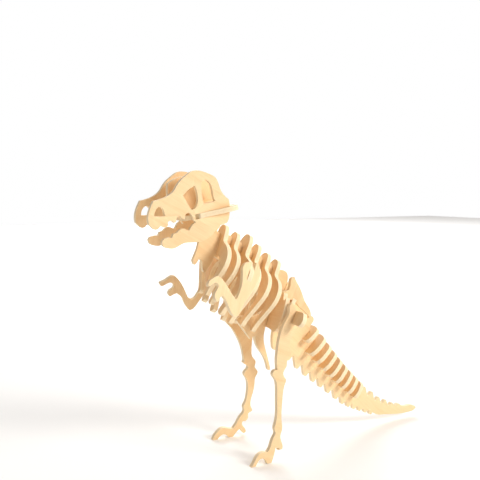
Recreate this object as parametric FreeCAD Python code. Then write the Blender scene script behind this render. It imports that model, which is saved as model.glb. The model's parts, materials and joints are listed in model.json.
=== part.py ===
import FreeCAD
import Part
import math
import os

V = FreeCAD.Vector

# Slot-together dinosaur skeleton, cut from one thickness of plywood.
# Millimetres. +X runs from the snout to the tail tip, +Y to the animal's right, +Z up.

# ---- driving dimensions ----
ply = 3.0                        # thickness of the sheet
play = 0.05                      # clearance on each face of a slot
slot = ply + 2 * play
far = 80.0                       # length of an open-ended cut, past the edge of any piece

back_start = (-50.6, 139.0)      # top edge of the spine at the first rib
back_step = (7.4, -4.7)          # from one rib to the next
back_depth = 13.0                # depth of the spine below its top edge
spine_bump = 3.5                 # height of the knobs between the ribs
rib_count = 6
shoulder_rib = 3
rib_leans = (20.0, 26.0, 26.0, 26.0, 26.0, 26.0)    # degrees from upright, tops tailwards
chest_lean = rib_leans[shoulder_rib - 1]
rib_lap = -6.0                   # where a rib's slot ends, from the spine's top edge
rib_tops = (8.2, 8.2, 11.6, 9.5, 8.2, 8.2)
rib_drops = (37.0, 40.0, 42.5, 44.0, 41.5, 41.0)
shoulder_scale = 1.23            # the third rib is wider and carries the arms

head_pitch = 12.0                # degrees, snout down
skull_y = 11.2                   # middle of each side of the skull
palate_root = (-74.1, 152.6)     # front end of the slots in the sides
palate_front = -5.0             # along the palate from palate_root
palate_back = 27.5
crest_slot_end = 3.0
neck_front = 12.5
neck_slot_end = 19.0

hip_front = (-14.6, 90.4)        # middle of each hip bar, seen from the side
hip_front_lean = 15.0
hip_rear = (-7.9, 90.4)
hip_rear_lean = 30.0
ilium_y = 10.0
leg_y = 19.5
leg_splay = 3.5                  # degrees outwards
leg_lap = -3.0                   # where a leg's slot ends, from hip_rear
shoulder_drop = 11.0             # from the spine's top edge down to the shoulder
arm_y = 19.5
arm_splay = 11.0
arm_lap = -15.0                  # where an arm's slot ends, from the spine's top edge

tail_start = (19.5, 75.5)        # top of the first tail vertebra
tail_step = (4.75, -5.3)
tail_sag = 2.0                   # of the middle vertebra, below a straight row
vertebra_count = 9
tail_lean = 51.0                 # degrees, first vertebra
tail_lean_step = -2.1
vertebra_height = 17.0
vertebra_height_step = -0.6
vertebra_half_width = 10.4
vertebra_half_width_step = -0.45
first_vertebra_scale = 0.75

parts = {}


# ---- shapes ----

def away(point, lean, up, along=0.0):
    """Point moved up a line that leans from upright, and along the line across it."""
    tilt = math.radians(lean)
    return (point[0] + up * math.sin(tilt) + along * math.cos(tilt),
            point[1] + up * math.cos(tilt) - along * math.sin(tilt))


def outline(start, *runs):
    """Closed face in the XZ plane. A run of one point is a straight line to it,
    and a run of more points is one smooth curve through them."""
    edges = []
    here = V(start[0], 0, start[1])
    for run in runs + ((start,),):
        points = [here] + [V(x, 0, z) for x, z in run]
        if len(points) > 2:
            curve = Part.BSplineCurve()
            curve.interpolate(points)
            edges.append(curve.toShape())
        elif points[1].distanceToPoint(here) > 1e-6:
            edges.append(Part.LineSegment(here, points[1]).toShape())
        here = points[-1]
    return Part.Face(Part.Wire(edges))


def side_plate(face, y=0.0):
    """Plate that stands along the animal, centred on y."""
    plate = face.extrude(V(0, ply, 0))
    plate.translate(V(0, y - ply / 2, 0))
    return plate


def cross_plate(face, point, lean):
    """Plate that stands across the animal. Its face is drawn with X as the animal's width
    and Z as the height up the leaning line."""
    plate = face.extrude(V(0, ply, 0))
    plate.translate(V(0, -ply / 2, 0))
    plate.rotate(V(0, 0, 0), V(0, 0, 1), -90)
    plate.rotate(V(0, 0, 0), V(0, 1, 0), lean)
    plate.translate(V(point[0], 0, point[1]))
    return plate


def cut_box(point, lean, along, up, across):
    """Box between two distances along the line, up the line and across the animal."""
    box = Part.makeBox(along[1] - along[0], across[1] - across[0], up[1] - up[0],
                       V(along[0], across[0], up[0]))
    box.rotate(V(0, 0, 0), V(0, 1, 0), lean)
    box.translate(V(point[0], 0, point[1]))
    return box


def slot_for_cross(point, lean, up):
    """Slot in a side plate, for a plate that stands across it."""
    return cut_box(point, lean, (-slot / 2, slot / 2), up, (-far, far))


def slot_for_side(point, lean, up, y=0.0):
    """Slot in a cross plate, for a side plate centred on y."""
    return cut_box(point, lean, (-far, far), up, (y - slot / 2, y + slot / 2))


def splayed(shape, point, lean, y, side, angle):
    """Limb turned outwards about the line across the leaning line, then moved to its side."""
    tilt = math.radians(lean)
    axis = V(math.cos(tilt), 0, -math.sin(tilt))
    shape.rotate(V(point[0], 0, point[1]), axis, side * angle)
    shape.translate(V(0, side * y, 0))
    return shape


# ---- spine: neck, back, pubis and tusk in one plate ----

def rib_foot(number):
    return (back_start[0] + (number - 1) * back_step[0],
            back_start[1] + (number - 1) * back_step[1])


def spine_plate():
    head = lambda along, up: away(palate_root, -head_pitch, up, along)
    runs = [[head(19.5, 5.5)], [head(21.5, 0), head(22.0, -6), (-54.6, 143.5)]]
    knob = away((0, 0), chest_lean, spine_bump, 4.4)
    for number in range(1, rib_count):
        foot = rib_foot(number)
        runs.append([away(foot, chest_lean, 0, 1.9)])
        runs.append([away(foot, chest_lean, 2.4, 2.6), (foot[0] + knob[0], foot[1] + knob[1]),
                     away(foot, chest_lean, 1.7, 6.2), away(foot, chest_lean, -1, 6.8)])
    last = rib_foot(rib_count)
    runs.append([away(last, chest_lean, 0, 1.9)])
    runs.append([away(last, chest_lean, 2.6, 3.4), away(last, chest_lean, 3.8, 6.4),
                 (-3.4, 114.2), (-2.6, 111.0), (-3.0, 108.5)])
    runs.append([(-9.2, 95.8)])
    runs.append([(-15.3, 95.8)])
    runs.append([(-20.4, 76.8)])
    runs.append([(-21.0, 72.0), (-20.2, 67.0), (-18.6, 61.5), (-17.2, 56.4), (-16.1, 52.2)])
    runs.append([(-16.8, 50.6), (-17.9, 51.8)])
    runs.append([(-19.1, 56.4), (-21.5, 61.3), (-24.7, 65.7), (-26.8, 69.9), (-27.4, 74.2)])
    runs.append([(-28.8, 74.2), (-30.6, 72.6)])
    runs.append([(-40.7, 85.6)])
    runs.append([(-40.0, 87.4), (-36.9, 88.3), (-31.8, 87.2), (-26.8, 87.8), (-22.3, 89.6),
                 (-18.5, 92.0), (-16.3, 96.0), (-16.7, 100.1), away(last, chest_lean, -back_depth)])
    runs.append([away(back_start, chest_lean, -back_depth, -0.5)])
    runs.append([(-58.4, 123.2), (-61.4, 119.6), (-63.2, 118.0), (-64.3, 119.6),
                 (-64.7, 123.6), (-66.4, 126.6)])
    runs.append([(-68.2, 124.4), (-69.8, 123.0), (-70.8, 124.4), (-70.1, 127.9),
                 (-68.1, 132.3), (-66.9, 137.8), (-66.4, 143.5), head(neck_front, -6)])
    plate = side_plate(outline(head(neck_front, 5.5), *runs))
    plate = plate.cut(cut_box(palate_root, -head_pitch, (0, neck_slot_end + play),
                              (-slot / 2, slot / 2), (-far, far)))
    for number in range(1, rib_count + 1):
        plate = plate.cut(slot_for_cross(rib_foot(number), rib_leans[number - 1],
                                         (rib_lap - play, far / 4)))
    return plate


parts["spine_plate"] = spine_plate()


# ---- ribs ----

def rib(number, scale):
    up = rib_tops[number - 1] / 8.2
    down = rib_drops[number - 1] / 41.3
    outer = [(0, 8.2), (3.0, 7.3), (5.0, 4.4), (5.5, 1.2), (6.3, -1.8), (10.4, -4.4),
             (14.4, -7.0), (17.2, -10.5), (18.3, -15.0), (17.6, -19.6), (15.2, -24.4),
             (12.4, -29.0), (9.2, -34.0), (6.9, -38.6)]
    inner = [(3.1, -39.4), (4.4, -35.6), (7.0, -31.0), (9.2, -26.0), (10.4, -20.6),
             (9.4, -16.0), (5.6, -12.8), (0, -12.0)]
    outer = [(x * scale, z * (up if z > 0 else down)) for x, z in outer]
    inner = [(x, z * down) for x, z in inner]
    tip = [(outer[-1][0] * 0.8, -rib_drops[number - 1]), inner[0]]
    left = [(-x, z) for x, z in reversed(inner[:-1])]
    back = [(-x, z) for x, z in reversed(outer[:-1])]
    face = outline(outer[0], outer[1:], tip, inner[1:] + left,
                   [(-tip[0][0], tip[0][1]), (-outer[-1][0], outer[-1][1])], back)
    foot = rib_foot(number)
    lean = rib_leans[number - 1]
    plate = cross_plate(face, foot, lean)
    return plate.cut(slot_for_side(foot, lean, (-20, rib_lap + play)))


for number in range(1, rib_count + 1):
    parts["rib_%d" % number] = rib(number, shoulder_scale if number == shoulder_rib else 1.0)


# ---- arms, pushed up onto the shoulder rib ----

shoulder = away(rib_foot(shoulder_rib), chest_lean, -shoulder_drop)

raised_arm = outline(
    (-47.2, 119.6), [(-46.6, 122.6), (-44.3, 124.7), (-40.8, 125.0), (-37.2, 124.5), (-35.0, 122.4)],
    [(-34.6, 119.0), (-35.8, 115.0), (-39.2, 110.2), (-43.9, 105.0), (-48.5, 100.1), (-51.7, 95.4),
     (-54.4, 93.2), (-57.0, 94.6), (-59.0, 98.8), (-60.8, 103.4), (-62.6, 106.0)],
    [(-64.6, 105.0), (-66.6, 102.8), (-67.8, 104.6), (-67.4, 108.4), (-65.6, 110.8), (-64.8, 112.4)],
    [(-66.4, 114.0), (-69.2, 113.2), (-71.6, 112.4), (-71.6, 114.0), (-68.4, 116.7), (-64.8, 117.8),
     (-62.6, 116.6), (-60.3, 113.4), (-58.2, 110.2), (-56.2, 106.4)],
    [(-53.6, 103.2)], [(-51.2, 106.4), (-49.2, 110.4), (-47.9, 115.0), (-47.2, 119.6)])

lowered_arm = outline(
    (-47.2, 119.6), [(-46.6, 122.6), (-44.3, 124.7), (-40.8, 125.0), (-37.2, 124.5), (-35.0, 122.4)],
    [(-34.8, 119.0), (-37.4, 113.6), (-44.0, 107.6), (-50.6, 103.1), (-53.5, 98.9), (-56.4, 94.7),
     (-58.9, 91.2), (-61.9, 89.8), (-64.1, 91.8), (-66.2, 95.4), (-67.9, 98.9), (-70.2, 100.8)],
    [(-73.4, 101.2), (-76.4, 100.2), (-77.2, 101.8), (-76.2, 104.0), (-74.2, 105.4), (-73.9, 107.6)],
    [(-76.4, 109.2), (-79.4, 108.0), (-82.2, 107.3), (-83.2, 108.9), (-80.0, 110.9), (-76.8, 113.0),
     (-74.2, 113.7), (-71.1, 111.5), (-68.3, 107.7), (-65.9, 103.2), (-64.1, 99.6)],
    [(-62.4, 97.6), (-60.0, 97.4), (-57.4, 100.4), (-53.6, 106.4), (-50.6, 111.6), (-48.4, 116.0),
     (-47.2, 119.6)])


def arm(side, face):
    plate = side_plate(face).cut(slot_for_cross(shoulder, chest_lean, (arm_lap + shoulder_drop - play, far)))
    return splayed(plate, shoulder, chest_lean, arm_y, side, arm_splay)


parts["arm_left"] = arm(-1, raised_arm)
parts["arm_right"] = arm(1, lowered_arm)
rib_name = "rib_%d" % shoulder_rib
for side in (-1, 1):
    cut = slot_for_side(shoulder, chest_lean, (-far, arm_lap + shoulder_drop + play))
    parts[rib_name] = parts[rib_name].cut(splayed(cut, shoulder, chest_lean, arm_y, side, arm_splay))


# ---- head: a palate that joins two sides and a centre crest, and plugs onto the neck ----

def palate():
    inside = skull_y - ply / 2 - 2 * play
    front = [(palate_front, inside - 2), (palate_front + 2, inside), (play, inside), (play, skull_y),
             (2.5, skull_y), (2.5, 12.9)]
    rear = [(8, 13.6), (16, 15.4), (24, 16.6), (palate_back, 15.6)]
    front_runs = [[point] for point in front]
    other_rear = [(x, -y) for x, y in reversed(rear[:-1])] + [(front[-1][0], -front[-1][1])]
    other_front = [[(x, -y)] for x, y in reversed(front[:-1])]
    face = outline((palate_front, 0), *front_runs, rear, [(palate_back, -rear[-1][1])], other_rear,
                   *other_front)
    plate = face.extrude(V(0, ply, 0))
    plate.translate(V(0, -ply / 2, 0))
    plate.rotate(V(0, 0, 0), V(1, 0, 0), 90)
    plate.rotate(V(0, 0, 0), V(0, 1, 0), -head_pitch)
    plate.translate(V(palate_root[0], 0, palate_root[1]))
    for along in ((neck_slot_end - play, far), (-far, crest_slot_end + play)):
        plate = plate.cut(cut_box(palate_root, -head_pitch, along, (-far / 2, far / 2),
                                  (-slot / 2, slot / 2)))
    return plate


def head_side(side):
    face = outline((-103.0, 148.8),
                   [(-103.5, 152.7), (-102.2, 158.1), (-100.2, 162.2)],
                   [(-95.4, 163.4), (-90.9, 165.4), (-87.7, 168.0), (-85.5, 171.4), (-82.9, 174.5),
                    (-79.5, 177.3), (-76.2, 179.5), (-74.0, 180.0), (-69.5, 179.6), (-64.5, 178.0),
                    (-61.1, 176.2), (-59.1, 173.0), (-57.7, 169.2), (-55.9, 166.4), (-52.2, 163.2)],
                   [(-51.4, 159.6), (-51.4, 155.4), (-52.0, 151.4), (-53.2, 148.6)],
                   [(-56.5, 147.8), (-59.7, 146.2), (-61.9, 143.4), (-65.5, 140.2), (-71.0, 137.9),
                    (-77.8, 137.6), (-81.5, 137.3), (-85.4, 135.5), (-88.9, 134.4), (-91.0, 134.6),
                    (-94.5, 136.3), (-95.2, 138.0), (-93.5, 140.4)],
                   [(-90.4, 141.1)], [(-89.0, 140.7)], [(-88.0, 143.2)],
                   [(-85.9, 143.7), (-83.9, 145.4), (-81.8, 146.0), (-81.0, 145.8)],
                   [(-78.2, 144.7)], [(-76.0, 148.0)], [(-73.8, 149.6)],
                   [(-75.4, 151.2)], [(-76.2, 153.5), (-77.7, 155.1), (-80.4, 154.2)],
                   [(-81.0, 151.8)], [(-82.7, 151.9)], [(-83.8, 153.5)], [(-86.0, 152.6)],
                   [(-86.5, 150.0)], [(-87.7, 149.6)], [(-88.9, 150.7), (-91.2, 150.3), (-91.2, 148.6)],
                   [(-92.2, 146.8)], [(-93.4, 147.0)], [(-96.0, 147.8)], [(-97.2, 146.4)],
                   [(-99.9, 146.0), (-101.0, 146.8), (-103.0, 148.8)])
    nostril = outline((-99.8, 153.4), [(-99.4, 156.0), (-98.2, 158.0), (-96.4, 158.9),
                                        (-94.7, 158.0), (-93.7, 156.0), (-93.2, 153.4)])
    orbit = outline((-81.9, 165.2), [(-79.2, 168.2), (-74.4, 171.0)],
                    [(-73.0, 167.6), (-72.5, 161.6), (-74.0, 158.2), (-75.9, 157.0), (-77.5, 158.2)])
    cheek = outline((-70.4, 172.6), [(-69.9, 166.0), (-68.7, 160.5)], [(-64.9, 160.9), (-61.1, 162.1)],
                    [(-63.2, 169.4), (-64.7, 172.8), (-67.0, 174.4), (-70.4, 172.6)])
    plate = side_plate(face.cut(nostril).cut(orbit).cut(cheek), side * skull_y)
    return plate.cut(cut_box(palate_root, -head_pitch, (0, far), (-slot / 2, slot / 2), (-far, far)))


def skull_crest():
    on_palate = lambda along, up: away(palate_root, -head_pitch, up, along)
    lift = ply / 2 + play
    face = outline(on_palate(crest_slot_end + 2.0, -lift), [on_palate(crest_slot_end + 1.0, -3.8)],
                   [on_palate(palate_front + 1.0, -3.8)], [on_palate(palate_front, 0)],
                   [(-83.6, 154.6), (-86.0, 160.0), (-87.0, 165.0), (-87.0, 172.2)],
                   [(-84.8, 174.0), (-81.6, 175.6), (-77.0, 176.8), (-71.0, 177.3), (-66.0, 176.9),
                    (-61.0, 175.2), (-56.8, 172.0), (-54.6, 168.0), (-55.6, 164.6)],
                   [(-61.0, 163.0)], [(-64.4, 161.8)], [on_palate(9.5, lift)])
    plate = side_plate(face)
    return plate.cut(cut_box(palate_root, -head_pitch, (crest_slot_end - play, far),
                             (-slot / 2, slot / 2), (-far, far)))


parts["palate"] = palate()
parts["head_side_left"] = head_side(-1)
parts["head_side_right"] = head_side(1)
parts["skull_crest"] = skull_crest()


# ---- pelvis ----

def ilium(side):
    face = outline((-13.1, 98.0), [(-13.5, 100.8), (-11.8, 103.4), (-8.5, 104.4), (-6.9, 107.7),
                                   (-6.3, 111.1), (-4.0, 112.7)],
                   [(-3.0, 110.6), (-0.4, 106.4), (2.2, 100.8), (4.6, 95.4), (7.0, 91.9),
                    (8.6, 88.6), (9.0, 85.8)],
                   [(7.6, 84.6), (7.6, 85.9)],
                   [(5.4, 88.5), (2.3, 91.1), (-0.3, 93.3), (-2.5, 95.8), (-7.6, 98.1), (-9.4, 97.4)],
                   [(-12.6, 97.2), (-13.1, 98.0)])
    plate = side_plate(face, side * ilium_y)
    plate = plate.cut(slot_for_cross(hip_front, hip_front_lean, (-far / 2, 10.0 + play)))
    return plate.cut(slot_for_cross(hip_rear, hip_rear_lean, (-far / 2, 9.0 + play)))


def hip_bar_front():
    half = [(0, 13.0), (11.6, 13.0)]
    edge = [(13.2, 11.8), (13.6, 9.4), (14.6, 8.2), (15.8, 9.0), (16.6, 10.2)]
    low = [(17.2, 5.0), (16.9, -1.0), (15.6, -7.0), (13.6, -11.0), (10.8, -13.0)]
    face = outline((0, 13.0), [half[1]], edge, low, [(6.0, -12.0), (-6.0, -12.0), (-10.8, -13.0)],
                   [(-x, z) for x, z in reversed(low[:-1])] + [(-edge[-1][0], edge[-1][1])],
                   [(-x, z) for x, z in reversed(edge[:-1])] + [(-half[1][0], half[1][1])])
    plate = cross_plate(face, hip_front, hip_front_lean)
    plate = plate.cut(slot_for_side(hip_front, hip_front_lean, (5.0 - play, far)))
    for side in (-1, 1):
        plate = plate.cut(slot_for_side(hip_front, hip_front_lean, (10.0 - play, far), side * ilium_y))
    return plate


def hip_bar_rear():
    flush = ilium_y + ply / 2
    neck = [(12.2, 3.2), (13.6, 2.0), (16.2, 1.6)]
    end = [(30.4, -0.4), (31.8, -3.6), (29.8, -7.4)]
    face = outline((0, 12.0), [(flush, 12.0)], [(flush, 4.5)], neck, [(28.6, 1.6)], end,
                   [(16.0, -7.0)], [(13.0, -3.6)], [(-13.0, -3.6)], [(-16.0, -7.0)], [(-29.8, -7.4)],
                   [(-31.8, -3.6), (-30.4, -0.4), (-28.6, 1.6)], [(-16.2, 1.6)],
                   [(-13.6, 2.0), (-12.2, 3.2), (-flush, 4.5)], [(-flush, 12.0)])
    plate = cross_plate(face, hip_rear, hip_rear_lean)
    plate = plate.cut(slot_for_side(hip_rear, hip_rear_lean, (5.0 - play, far)))
    for side in (-1, 1):
        plate = plate.cut(slot_for_side(hip_rear, hip_rear_lean, (9.0 - play, far), side * ilium_y))
        cut = slot_for_side(hip_rear, hip_rear_lean, (-far / 2, leg_lap + play))
        plate = plate.cut(splayed(cut, hip_rear, hip_rear_lean, leg_y, side, leg_splay))
    return plate


parts["ilium_left"] = ilium(-1)
parts["ilium_right"] = ilium(1)
parts["hip_bar_front"] = hip_bar_front()
parts["hip_bar_rear"] = hip_bar_rear()


# ---- legs, pushed up onto the rear hip bar ----

def leg(side, face):
    plate = side_plate(face)
    plate = plate.cut(slot_for_cross(hip_rear, hip_rear_lean, (leg_lap - play, far)))
    plate = splayed(plate, hip_rear, hip_rear_lean, leg_y, side, leg_splay)
    ground = Part.makeBox(3 * far, 3 * far, far, V(-1.5 * far, -1.5 * far, -far))
    return plate.cut(ground)


planted_leg = outline(
    (-11.2, 97.6), [(-13.2, 95.8), (-13.6, 92.0), (-16.0, 87.7), (-20.5, 79.6), (-22.9, 70.2),
                    (-23.9, 62.1), (-23.7, 56.9)],
    [(-26.5, 56.2), (-27.2, 54.6), (-25.5, 51.4), (-24.2, 46.0), (-24.4, 36.9), (-24.8, 27.8),
     (-26.1, 23.0), (-26.8, 20.1), (-26.2, 17.7), (-27.7, 15.1), (-30.8, 8.6), (-32.4, 6.9)],
    [(-35.4, 7.4), (-38.2, 6.8), (-41.1, 4.0), (-43.9, 0.2), (-45.1, -0.5)], [(-41.1, -0.5)],
    [(-39.3, 2.4), (-37.1, 3.7), (-33.2, 1.2), (-32.7, -0.5)], [(-29.9, -0.5)],
    [(-28.3, 3.0), (-26.5, 8.6)], [(-23.5, 7.0), (-24.7, 6.8)], [(-21.7, 6.8)],
    [(-21.3, 8.8), (-22.3, 12.2), (-22.7, 15.4), (-21.5, 18.8), (-21.6, 25.0), (-21.0, 34.0),
     (-19.7, 43.4), (-18.3, 47.4), (-17.5, 49.4), (-19.3, 53.0), (-18.9, 55.6), (-16.9, 58.2),
     (-16.3, 61.6), (-14.1, 63.4)],
    [(-13.0, 65.6), (-14.1, 69.6), (-13.3, 74.6), (-10.3, 78.6), (-6.3, 82.6), (-3.5, 87.4),
     (-4.3, 90.4)],
    [(-8.3, 90.0)], [(-8.7, 92.6), (-9.7, 95.6), (-11.2, 97.6)])

striding_leg = outline(
    (-11.4, 97.7), [(-16.0, 97.5), (-24.1, 93.8), (-31.2, 90.2), (-36.6, 89.0), (-39.0, 86.0),
                    (-37.8, 81.1), (-33.8, 76.7), (-29.7, 70.5), (-26.5, 64.0), (-24.5, 57.2),
                    (-23.7, 52.7)],
    [(-24.3, 51.3), (-21.9, 49.7), (-20.7, 47.7), (-22.7, 45.1), (-23.5, 43.5), (-21.7, 40.0),
     (-20.3, 34.0), (-20.7, 27.5), (-22.1, 22.7), (-23.3, 20.3), (-22.7, 17.3), (-25.5, 13.4),
     (-28.5, 8.6), (-31.0, 5.6)],
    [(-34.8, 6.6), (-39.0, 7.4), (-42.4, 5.4), (-45.3, 1.7), (-45.9, -0.5)], [(-42.5, -0.5)],
    [(-40.3, 1.9), (-37.9, 2.7), (-35.7, 1.8), (-33.5, -0.5)], [(-30.7, -0.5)],
    [(-28.1, 2.8), (-26.1, 4.4)], [(-23.5, 1.7), (-22.9, 1.2), (-21.3, 1.6), (-21.9, 4.8),
                                   (-24.1, 8.2), (-23.3, 9.8)],
    [(-20.3, 10.4), (-19.4, 12.4), (-19.3, 14.8), (-16.5, 16.4), (-17.3, 19.0), (-17.9, 22.6),
     (-16.5, 28.4), (-15.1, 35.0), (-14.5, 40.4), (-13.0, 43.9), (-15.3, 47.6), (-14.7, 51.0),
     (-17.3, 54.8), (-18.1, 60.0), (-17.9, 65.6), (-16.5, 72.0), (-12.5, 78.0), (-7.1, 82.6),
     (-3.5, 87.4), (-4.3, 90.4)],
    [(-8.3, 90.0)], [(-8.7, 92.6), (-9.8, 95.8), (-11.4, 97.7)])

parts["leg_left"] = leg(-1, planted_leg)
parts["leg_right"] = leg(1, striding_leg)


# ---- tail ----

def vertebra_top(number):
    sag = tail_sag * math.sin(math.pi * (number - 1) / (vertebra_count - 1))
    return (tail_start[0] + (number - 1) * tail_step[0],
            tail_start[1] + (number - 1) * tail_step[1] - sag)


def vertebra_size(number):
    """Lean, half width and height of one tail vertebra."""
    scale = first_vertebra_scale if number == 1 else 1.0
    return (tail_lean + (number - 1) * tail_lean_step,
            scale * (vertebra_half_width + (number - 1) * vertebra_half_width_step),
            scale * (vertebra_height + (number - 1) * vertebra_height_step))


def vertebra(number):
    lean, half, height = vertebra_size(number)
    side = [(half * 0.55, -height * 0.03), (half * 0.9, -height * 0.16), (half, -height * 0.4)]
    low = [(half * 0.97, -height * 0.8), (half * 0.78, -height)]
    face = outline((0, 0), side + low, [(-x, z) for x, z in low[1:]],
                   [(-x, z) for x, z in reversed(side + low[:1])] + [(0, 0)])
    top = vertebra_top(number)
    plate = cross_plate(face, top, lean)
    return plate.cut(slot_for_side(top, lean, (-far, -height * 2 / 3 + play)))


def tail_plate():
    runs = [[(2.4, 98.0), (8.4, 90.6), (12.6, 86.0)],
            [(14.8, 84.2), (16.8, 83.4), (18.0, 81.4), (16.4, 78.4), (14.6, 75.4)]]
    for number in range(1, vertebra_count + 1):
        lean, half, height = vertebra_size(number)
        runs.append([away(vertebra_top(number), lean, -height / 3)])
    runs.append([(59.2, 26.6)])
    knobs = [(62.0, 28.4), (68.7, 23.8), (74.9, 19.0), (81.3, 16.0), (87.5, 12.9), (93.2, 11.2)]
    valleys = [(64.6, 21.8), (71.0, 17.4), (77.0, 14.4), (84.0, 11.4), (90.4, 10.0)]
    for knob, valley in zip(knobs, valleys):
        runs.append([(knob[0] - 1.8, knob[1] - 1.4), knob, (knob[0] + 1.5, knob[1] - 1.8)])
        runs.append([valley])
    runs.append([(91.8, 10.6), knobs[-1], (95.4, 10.6)])
    runs.append([(104.6, 8.4), (109.0, 7.6), (110.8, 6.0), (109.4, 4.6), (105.0, 3.6),
                 (97.0, 3.5), (88.0, 4.3), (80.0, 5.4), (75.4, 6.0), (71.4, 7.6)])
    notches = [(66.8, 10.3), (61.5, 12.5), (56.5, 14.9), (51.5, 17.5), (46.5, 20.3), (41.3, 23.9),
               (34.8, 29.9), (28.1, 35.3), (22.1, 40.3), (15.9, 45.3), (9.3, 50.9), (2.5, 57.9),
               (-4.5, 64.7)]
    here = (71.4, 7.6)
    drop = 1.6
    for notch in notches:
        tip = ((here[0] + notch[0]) / 2 - 0.8, (here[1] + notch[1]) / 2 - drop)
        runs.append([(tip[0] + 1.3, tip[1] + 0.9), tip, (tip[0] - 1.3, tip[1] + 1.3)])
        runs.append([notch])
        here = notch
        drop += 0.36
    runs.append([(-9.6, 67.6), (-12.4, 63.6), (-14.0, 66.0)])
    runs.append([(-14.2, 73.0), (-12.6, 79.4)])
    runs.append([(-3.6, 94.9)])
    runs.append([(-9.2, 94.9)])
    plate = side_plate(outline((-2.7, 108.0), *runs))
    plate = plate.cut(slot_for_cross(hip_rear, hip_rear_lean, (-far / 2, 5.0 + play)))
    for number in range(1, vertebra_count + 1):
        lean, half, height = vertebra_size(number)
        plate = plate.cut(slot_for_cross(vertebra_top(number), lean, (-height * 2 / 3 - play, far / 4)))
    return plate


parts["tail_plate"] = tail_plate()
for number in range(1, vertebra_count + 1):
    parts["tail_vertebra_%d" % number] = vertebra(number)


# ---- the whole stands on the ground, centred on the origin ----

whole = Part.makeCompound(list(parts.values())).optimalBoundingBox(False, False)
shift = V(-(whole.XMin + whole.XMax) / 2, -(whole.YMin + whole.YMax) / 2, -whole.ZMin)
os.makedirs("parts", exist_ok=True)
for name, shape in parts.items():
    shape.translate(shift)
    shape.exportStep("parts/%s.step" % name)
    print("%-18s %8.1f mm3  solids %d  valid %s" % (name, shape.Volume, len(shape.Solids), shape.isValid()))
print("shift", shift, "size", whole.XLength, whole.YLength, whole.ZLength)
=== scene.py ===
# Dinosaur skeleton of slot-together plywood, standing on a pale studio floor
import bpy
import bmesh
import json
import math
import random
from mathutils import Matrix, Vector


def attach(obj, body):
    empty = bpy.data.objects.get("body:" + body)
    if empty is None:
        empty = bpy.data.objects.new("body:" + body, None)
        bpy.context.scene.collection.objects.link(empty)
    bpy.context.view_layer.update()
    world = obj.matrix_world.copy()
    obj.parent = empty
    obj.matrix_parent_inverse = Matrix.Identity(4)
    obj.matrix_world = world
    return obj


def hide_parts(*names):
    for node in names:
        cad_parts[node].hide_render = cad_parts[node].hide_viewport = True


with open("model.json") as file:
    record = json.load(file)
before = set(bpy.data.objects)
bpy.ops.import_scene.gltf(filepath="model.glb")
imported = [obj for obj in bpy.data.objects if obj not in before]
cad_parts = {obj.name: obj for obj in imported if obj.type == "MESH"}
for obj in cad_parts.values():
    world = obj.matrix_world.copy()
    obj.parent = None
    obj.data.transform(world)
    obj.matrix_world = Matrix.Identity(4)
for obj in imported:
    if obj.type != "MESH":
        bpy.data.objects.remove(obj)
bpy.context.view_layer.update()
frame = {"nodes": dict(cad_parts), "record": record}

random.seed(29)


# materials

def addNode(tree, kind, place, **settings):
    node = tree.nodes.new(kind)
    node.location = place
    for name, value in settings.items():
        setattr(node, name, value)
    return node


def newMaterial(name):
    material = bpy.data.materials.new(name)
    material.use_nodes = True
    tree = material.node_tree
    tree.nodes.clear()
    shader = addNode(tree, "ShaderNodeBsdfPrincipled", (600, 0))
    output = addNode(tree, "ShaderNodeOutputMaterial", (900, 0))
    tree.links.new(shader.outputs["BSDF"], output.inputs["Surface"])
    return material, tree, shader


def stretchedNoise(tree, uv, stretch, place, detail=4.0, roughness=0.55, distortion=0.0):
    mapping = addNode(tree, "ShaderNodeMapping", (place[0] - 200, place[1]))
    mapping.inputs["Scale"].default_value = (stretch[0], stretch[1], 1.0)
    noise = addNode(tree, "ShaderNodeTexNoise", place)
    noise.inputs["Scale"].default_value = 1.0
    noise.inputs["Detail"].default_value = detail
    noise.inputs["Roughness"].default_value = roughness
    noise.inputs["Distortion"].default_value = distortion
    tree.links.new(uv, mapping.inputs["Vector"])
    tree.links.new(mapping.outputs["Vector"], noise.inputs["Vector"])
    return noise.outputs["Fac"]


def ramp(tree, factor, stops, place):
    node = addNode(tree, "ShaderNodeValToRGB", place)
    band = node.color_ramp
    while len(band.elements) < len(stops):
        band.elements.new(0.5)
    for element, (position, colour) in zip(band.elements, stops):
        element.position = position
        element.color = (*colour, 1.0)
    tree.links.new(factor, node.inputs["Fac"])
    return node.outputs["Color"]


def mask(tree, factor, start, end, strength, place):
    return ramp(tree, factor, [(start, (0.0, 0.0, 0.0)), (end, (strength, strength, strength))], place)


def mixColour(tree, factor, first, second, place, blend="MIX"):
    node = addNode(tree, "ShaderNodeMix", place, data_type="RGBA", blend_type=blend)
    if isinstance(factor, float):
        node.inputs[0].default_value = factor
    else:
        tree.links.new(factor, node.inputs[0])
    tree.links.new(first, node.inputs[6])
    if isinstance(second, tuple):
        node.inputs[7].default_value = (*second, 1.0)
    else:
        tree.links.new(second, node.inputs[7])
    return node.outputs[2]


def mathNode(tree, operation, values, place):
    node = addNode(tree, "ShaderNodeMath", place, operation=operation)
    for socket, value in zip(node.inputs, values):
        if isinstance(value, (int, float)):
            socket.default_value = value
        else:
            tree.links.new(value, socket)
    return node.outputs[0]


def addBump(tree, shader, height, strength, depth):
    bump = addNode(tree, "ShaderNodeBump", (300, -400))
    bump.inputs["Strength"].default_value = strength
    bump.inputs["Distance"].default_value = depth
    tree.links.new(height, bump.inputs["Height"])
    tree.links.new(bump.outputs["Normal"], shader.inputs["Normal"])


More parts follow.
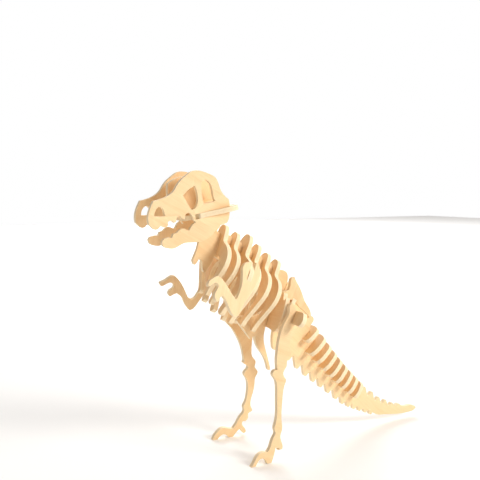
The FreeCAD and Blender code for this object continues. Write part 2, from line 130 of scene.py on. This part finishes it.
# each stretch is along and across the grain, in sheet units
veneerLook = dict(
    pale=(0.93, 0.69, 0.41),
    honey=(0.86, 0.575, 0.295),
    pore=(0.46, 0.26, 0.11),
    fleck=(0.95, 0.75, 0.50),
    figureStretch=(0.16, 1.5),
    figureStops=(0.22, 0.50),       # where honey ends and pale begins
    streakStretch=(0.45, 11.0),
    streakMask=(0.40, 0.74, 0.55),  # start, end and strength of each mask
    poreStretch=(3.2, 60.0),
    poreMask=(0.66, 0.80, 0.42),
    fleckStretch=(5.0, 14.0),
    fleckMask=(0.60, 0.74, 0.35),
    sheetTints=[(0.0, (0.93, 0.90, 0.85)), (0.5, (1.0, 0.99, 0.97)), (1.0, (1.04, 1.03, 1.02))],
    roughness=(0.52, 0.70),
    bumpStrength=0.55,
    bumpDepth=0.00004,
)


def makeVeneer():
    look = veneerLook
    material, tree, shader = newMaterial("basswoodVeneer")
    uv = addNode(tree, "ShaderNodeUVMap", (-1500, 0), uv_map="sheet").outputs["UV"]
    tint = addNode(tree, "ShaderNodeAttribute", (-1500, -300), attribute_name="sheetTint").outputs["Fac"]

    figure = stretchedNoise(tree, uv, look["figureStretch"], (-1000, 300), detail=3.0, distortion=0.9)
    streaks = stretchedNoise(tree, uv, look["streakStretch"], (-1000, 0),
                             detail=6.0, roughness=0.62, distortion=0.15)
    pores = stretchedNoise(tree, uv, look["poreStretch"], (-1000, -300), detail=2.0, roughness=0.5)
    flecks = stretchedNoise(tree, uv, look["fleckStretch"], (-1000, -600), detail=2.0, roughness=0.7)

    honeyEnd, paleStart = look["figureStops"]
    base = ramp(tree, figure, [(honeyEnd, look["honey"]), (paleStart, look["pale"])], (-700, 300))
    streakMask = mask(tree, streaks, *look["streakMask"], (-700, 0))
    grained = mixColour(tree, streakMask, base, look["honey"], (-400, 200))
    fleckMask = mask(tree, flecks, *look["fleckMask"], (-700, -600))
    flecked = mixColour(tree, fleckMask, grained, look["fleck"], (-250, 100))
    poreMask = mask(tree, pores, *look["poreMask"], (-700, -300))
    pored = mixColour(tree, poreMask, flecked, look["pore"], (-100, 50))
    sheetTint = ramp(tree, tint, look["sheetTints"], (-400, -200))
    tinted = mixColour(tree, 1.0, pored, sheetTint, (100, 50), "MULTIPLY")
    tree.links.new(tinted, shader.inputs["Base Color"])

    low, high = look["roughness"]
    rough = mathNode(tree, "MULTIPLY_ADD", (streaks, high - low, low), (150, -200))
    tree.links.new(rough, shader.inputs["Roughness"])
    height = mathNode(tree, "SUBTRACT", (streaks, poreMask), (0, -400))
    addBump(tree, shader, height, look["bumpStrength"], look["bumpDepth"])
    return material


edgeLook = dict(
    longGrain=(0.95, 0.79, 0.54),   # the two outer plies
    endGrain=(0.86, 0.66, 0.41),    # the core
    glueLine=(0.62, 0.42, 0.22),
    sawMark=(0.72, 0.52, 0.29),
    glueDepths=(0.36, 0.68),        # of the sheet's thickness
    glueBlur=(0.015, 0.02),         # below the lower line, and everywhere else
    wobbleStretch=(1.6, 1.0),
    wobble=0.06,
    softening=0.72,                 # how far sanding hides the plies
    markStretch=(26.0, 1.2),
    markMask=(0.50, 0.78, 0.55),
    roughness=0.72,
    bumpStrength=0.6,
    bumpDepth=0.00006,
)


def makeCutEdge():
    look = edgeLook
    material, tree, shader = newMaterial("plyCutEdge")
    uv = addNode(tree, "ShaderNodeUVMap", (-1500, 0), uv_map="sheet").outputs["UV"]
    split = addNode(tree, "ShaderNodeSeparateXYZ", (-1300, 200))
    tree.links.new(uv, split.inputs["Vector"])
    wobble = stretchedNoise(tree, uv, look["wobbleStretch"], (-1100, -100), detail=3.0)
    depth = mathNode(tree, "MULTIPLY_ADD", (wobble, look["wobble"], split.outputs["Y"]), (-900, 200))
    lower, upper = look["glueDepths"]
    sharp, soft = look["glueBlur"]
    plies = [(lower - sharp, "longGrain"), (lower, "glueLine"), (lower + soft, "endGrain"),
             (upper - soft, "endGrain"), (upper, "glueLine"), (upper + soft, "longGrain")]
    layers = ramp(tree, depth, [(position, look[ply]) for position, ply in plies], (-650, 200))
    softened = mixColour(tree, look["softening"], layers, look["longGrain"], (-400, 200))
    marks = stretchedNoise(tree, uv, look["markStretch"], (-900, -300), detail=5.0, roughness=0.65)
    markMask = mask(tree, marks, *look["markMask"], (-650, -300))
    marked = mixColour(tree, markMask, softened, look["sawMark"], (-100, 50))
    tree.links.new(marked, shader.inputs["Base Color"])
    shader.inputs["Roughness"].default_value = look["roughness"]
    addBump(tree, shader, marks, look["bumpStrength"], look["bumpDepth"])
    return material


veneer = makeVeneer()
cutEdge = makeCutEdge()
print("materials ready")


# plywood pieces, each a cleaned copy of its solid with its cut edges eased

plyCut = dict(
    weld=0.000002,
    flatAngle=0.4,      # degrees within which triangles join into one face
    ease=0.00016,       # rounding left by sanding
    easeSteps=2,
    smoothAngle=24.0,   # degrees below which a curved edge shades smooth
    sheetUnit=0.01,     # one unit of the sheet's UV map
    sheetSpread=40,     # how far apart in the sheet two pieces may be cut
)


def isFlat(face, across):
    return abs(face.normal.dot(across)) > 0.95


def layOutSheet(plate, across, grainTurn):
    layer = plate.loops.layers.uv.new("sheet")
    grain = (Matrix.Rotation(grainTurn, 3, across) @ across.orthogonal()).normalized()
    side = across.cross(grain)
    heights = [vert.co.dot(across) for vert in plate.verts]
    bottom, thickness = min(heights), max(heights) - min(heights)
    spread = plyCut["sheetSpread"]
    place = Vector((random.uniform(0, spread), random.uniform(0, spread)))
    for face in plate.faces:
        if isFlat(face, across):
            for loop in face.loops:
                spot = loop.vert.co / plyCut["sheetUnit"]
                loop[layer].uv = place + Vector((spot.dot(grain), spot.dot(side)))
        else:
            along = across.cross(face.normal).normalized()
            for loop in face.loops:
                depth = (loop.vert.co.dot(across) - bottom) / thickness
                loop[layer].uv = Vector((loop.vert.co.dot(along) / plyCut["sheetUnit"] + place.x, depth))


def makePiece(nodeName, bodyName):
    plate = bmesh.new()
    plate.from_mesh(frame["nodes"][nodeName].data)
    for oldLayer in list(plate.loops.layers.uv.values()):
        plate.loops.layers.uv.remove(oldLayer)
    bmesh.ops.remove_doubles(plate, verts=plate.verts, dist=plyCut["weld"])
    bmesh.ops.dissolve_limit(plate, angle_limit=math.radians(plyCut["flatAngle"]),
                             verts=plate.verts, edges=plate.edges)
    plate.normal_update()
    across = max(plate.faces, key=lambda face: face.calc_area()).normal.copy()
    rims = [edge for edge in plate.edges if len(edge.link_faces) == 2
            and isFlat(edge.link_faces[0], across) != isFlat(edge.link_faces[1], across)]
    bmesh.ops.bevel(plate, geom=rims, offset=plyCut["ease"], offset_type="OFFSET", affect="EDGES",
                    segments=plyCut["easeSteps"], profile=0.5, clamp_overlap=True, material=-1)
    plate.normal_update()
    layOutSheet(plate, across, random.uniform(0, math.pi))
    for face in plate.faces:
        face.material_index = 0 if isFlat(face, across) else 1
        face.smooth = True

    mesh = bpy.data.meshes.new(nodeName + "Ply")
    plate.to_mesh(mesh)
    plate.free()
    mesh.materials.append(veneer)
    mesh.materials.append(cutEdge)
    mesh.set_sharp_from_angle(angle=math.radians(plyCut["smoothAngle"]))
    tint = mesh.attributes.new("sheetTint", "FLOAT", "POINT")
    shade = random.random()
    tint.data.foreach_set("value", [shade] * len(mesh.vertices))
    piece = bpy.data.objects.new(nodeName + "_ply", mesh)
    bpy.context.scene.collection.objects.link(piece)
    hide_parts(nodeName)
    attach(piece, bodyName)
    return piece


pieces = []
for bodyName, nodeNames in frame["record"]["behaviour"]["bodies"].items():
    for nodeName in nodeNames:
        pieces.append(makePiece(nodeName, bodyName))
print("plywood pieces:", len(pieces), "faces:", sum(len(piece.data.polygons) for piece in pieces))


# floor, light and camera

studio = dict(
    floorSize=6.0,
    floorColour=(0.95, 0.95, 0.95),
    floorRoughness=0.9,
    brightSide=(0.47, 0.88, 0.0),   # direction of the brightest part of the sky
    skyBright=(1.0, 1.0, 1.0),
    skyDim=(0.30, 0.265, 0.23),
    skyStops=(0.40, 0.82),          # 0 is opposite the bright side and 1 is towards it
    skyStrength=1.0,
)


def makeFloor():
    ground = bmesh.new()
    bmesh.ops.create_grid(ground, x_segments=1, y_segments=1, size=studio["floorSize"] / 2)
    mesh = bpy.data.meshes.new("studioFloor")
    ground.to_mesh(mesh)
    ground.free()
    material, tree, shader = newMaterial("paleFloor")
    shader.inputs["Base Color"].default_value = (*studio["floorColour"], 1.0)
    shader.inputs["Roughness"].default_value = studio["floorRoughness"]
    mesh.materials.append(material)
    floor = bpy.data.objects.new("studioFloor", mesh)
    bpy.context.scene.collection.objects.link(floor)


lamps = dict(
    keyLight=dict(place=(0.80, -1.0, 0.80), aim=(0, 0, 0.09), size=0.6, power=16.5,
                  colour=(1.0, 0.97, 0.92)),
    backLight=dict(place=(0.9, 1.9, 1.3), aim=(0.9, 1.6, 0), size=1.6, power=40.0,
                   colour=(1.0, 1.0, 1.0)),
)


def makeLight(name, place, aim, size, power, colour):
    light = bpy.data.lights.new(name, "AREA")
    light.shape = "DISK"
    light.size = size
    light.energy = power
    light.color = colour
    lamp = bpy.data.objects.new(name, light)
    lamp.location = place
    lamp.rotation_euler = (Vector(aim) - Vector(place)).to_track_quat("-Z", "Y").to_euler()
    bpy.context.scene.collection.objects.link(lamp)


def makeSky():
    sky = bpy.data.worlds.new("whiteStudio")
    sky.use_nodes = True
    tree = sky.node_tree
    background = tree.nodes["Background"]
    around = addNode(tree, "ShaderNodeTexCoord", (-800, 0)).outputs["Generated"]
    facing = addNode(tree, "ShaderNodeVectorMath", (-600, 0), operation="DOT_PRODUCT")
    tree.links.new(around, facing.inputs[0])
    facing.inputs[1].default_value = studio["brightSide"]
    towards = mathNode(tree, "MULTIPLY_ADD", (facing.outputs["Value"], 0.5, 0.5), (-400, 0))
    dimEnd, brightStart = studio["skyStops"]
    shade = ramp(tree, towards, [(dimEnd, studio["skyDim"]), (brightStart, studio["skyBright"])], (-250, 0))
    tree.links.new(shade, background.inputs["Color"])
    background.inputs["Strength"].default_value = studio["skyStrength"]
    bpy.context.scene.world = sky
    bpy.context.scene.view_settings.view_transform = "Standard"


viewPoint = dict(
    place=(-0.23657, -0.3687, 0.1680),
    azimuth=27.9,       # degrees to the right of straight across
    tiltDown=4.25,
    lens=49.5,
    sensor=36.0,
    nearest=0.01,
)


def makeCamera():
    camera = bpy.data.cameras.new("studioCamera")
    camera.lens = viewPoint["lens"]
    camera.sensor_width = viewPoint["sensor"]
    camera.clip_start = viewPoint["nearest"]
    stand = bpy.data.objects.new("studioCamera", camera)
    stand.location = viewPoint["place"]
    pitch = math.radians(90.0 - viewPoint["tiltDown"])
    stand.rotation_euler = (pitch, 0.0, -math.radians(viewPoint["azimuth"]))
    bpy.context.scene.collection.objects.link(stand)
    bpy.context.scene.camera = stand


makeFloor()
for lampName, lampLook in lamps.items():
    makeLight(lampName, **lampLook)
makeSky()
makeCamera()
print("studio ready")
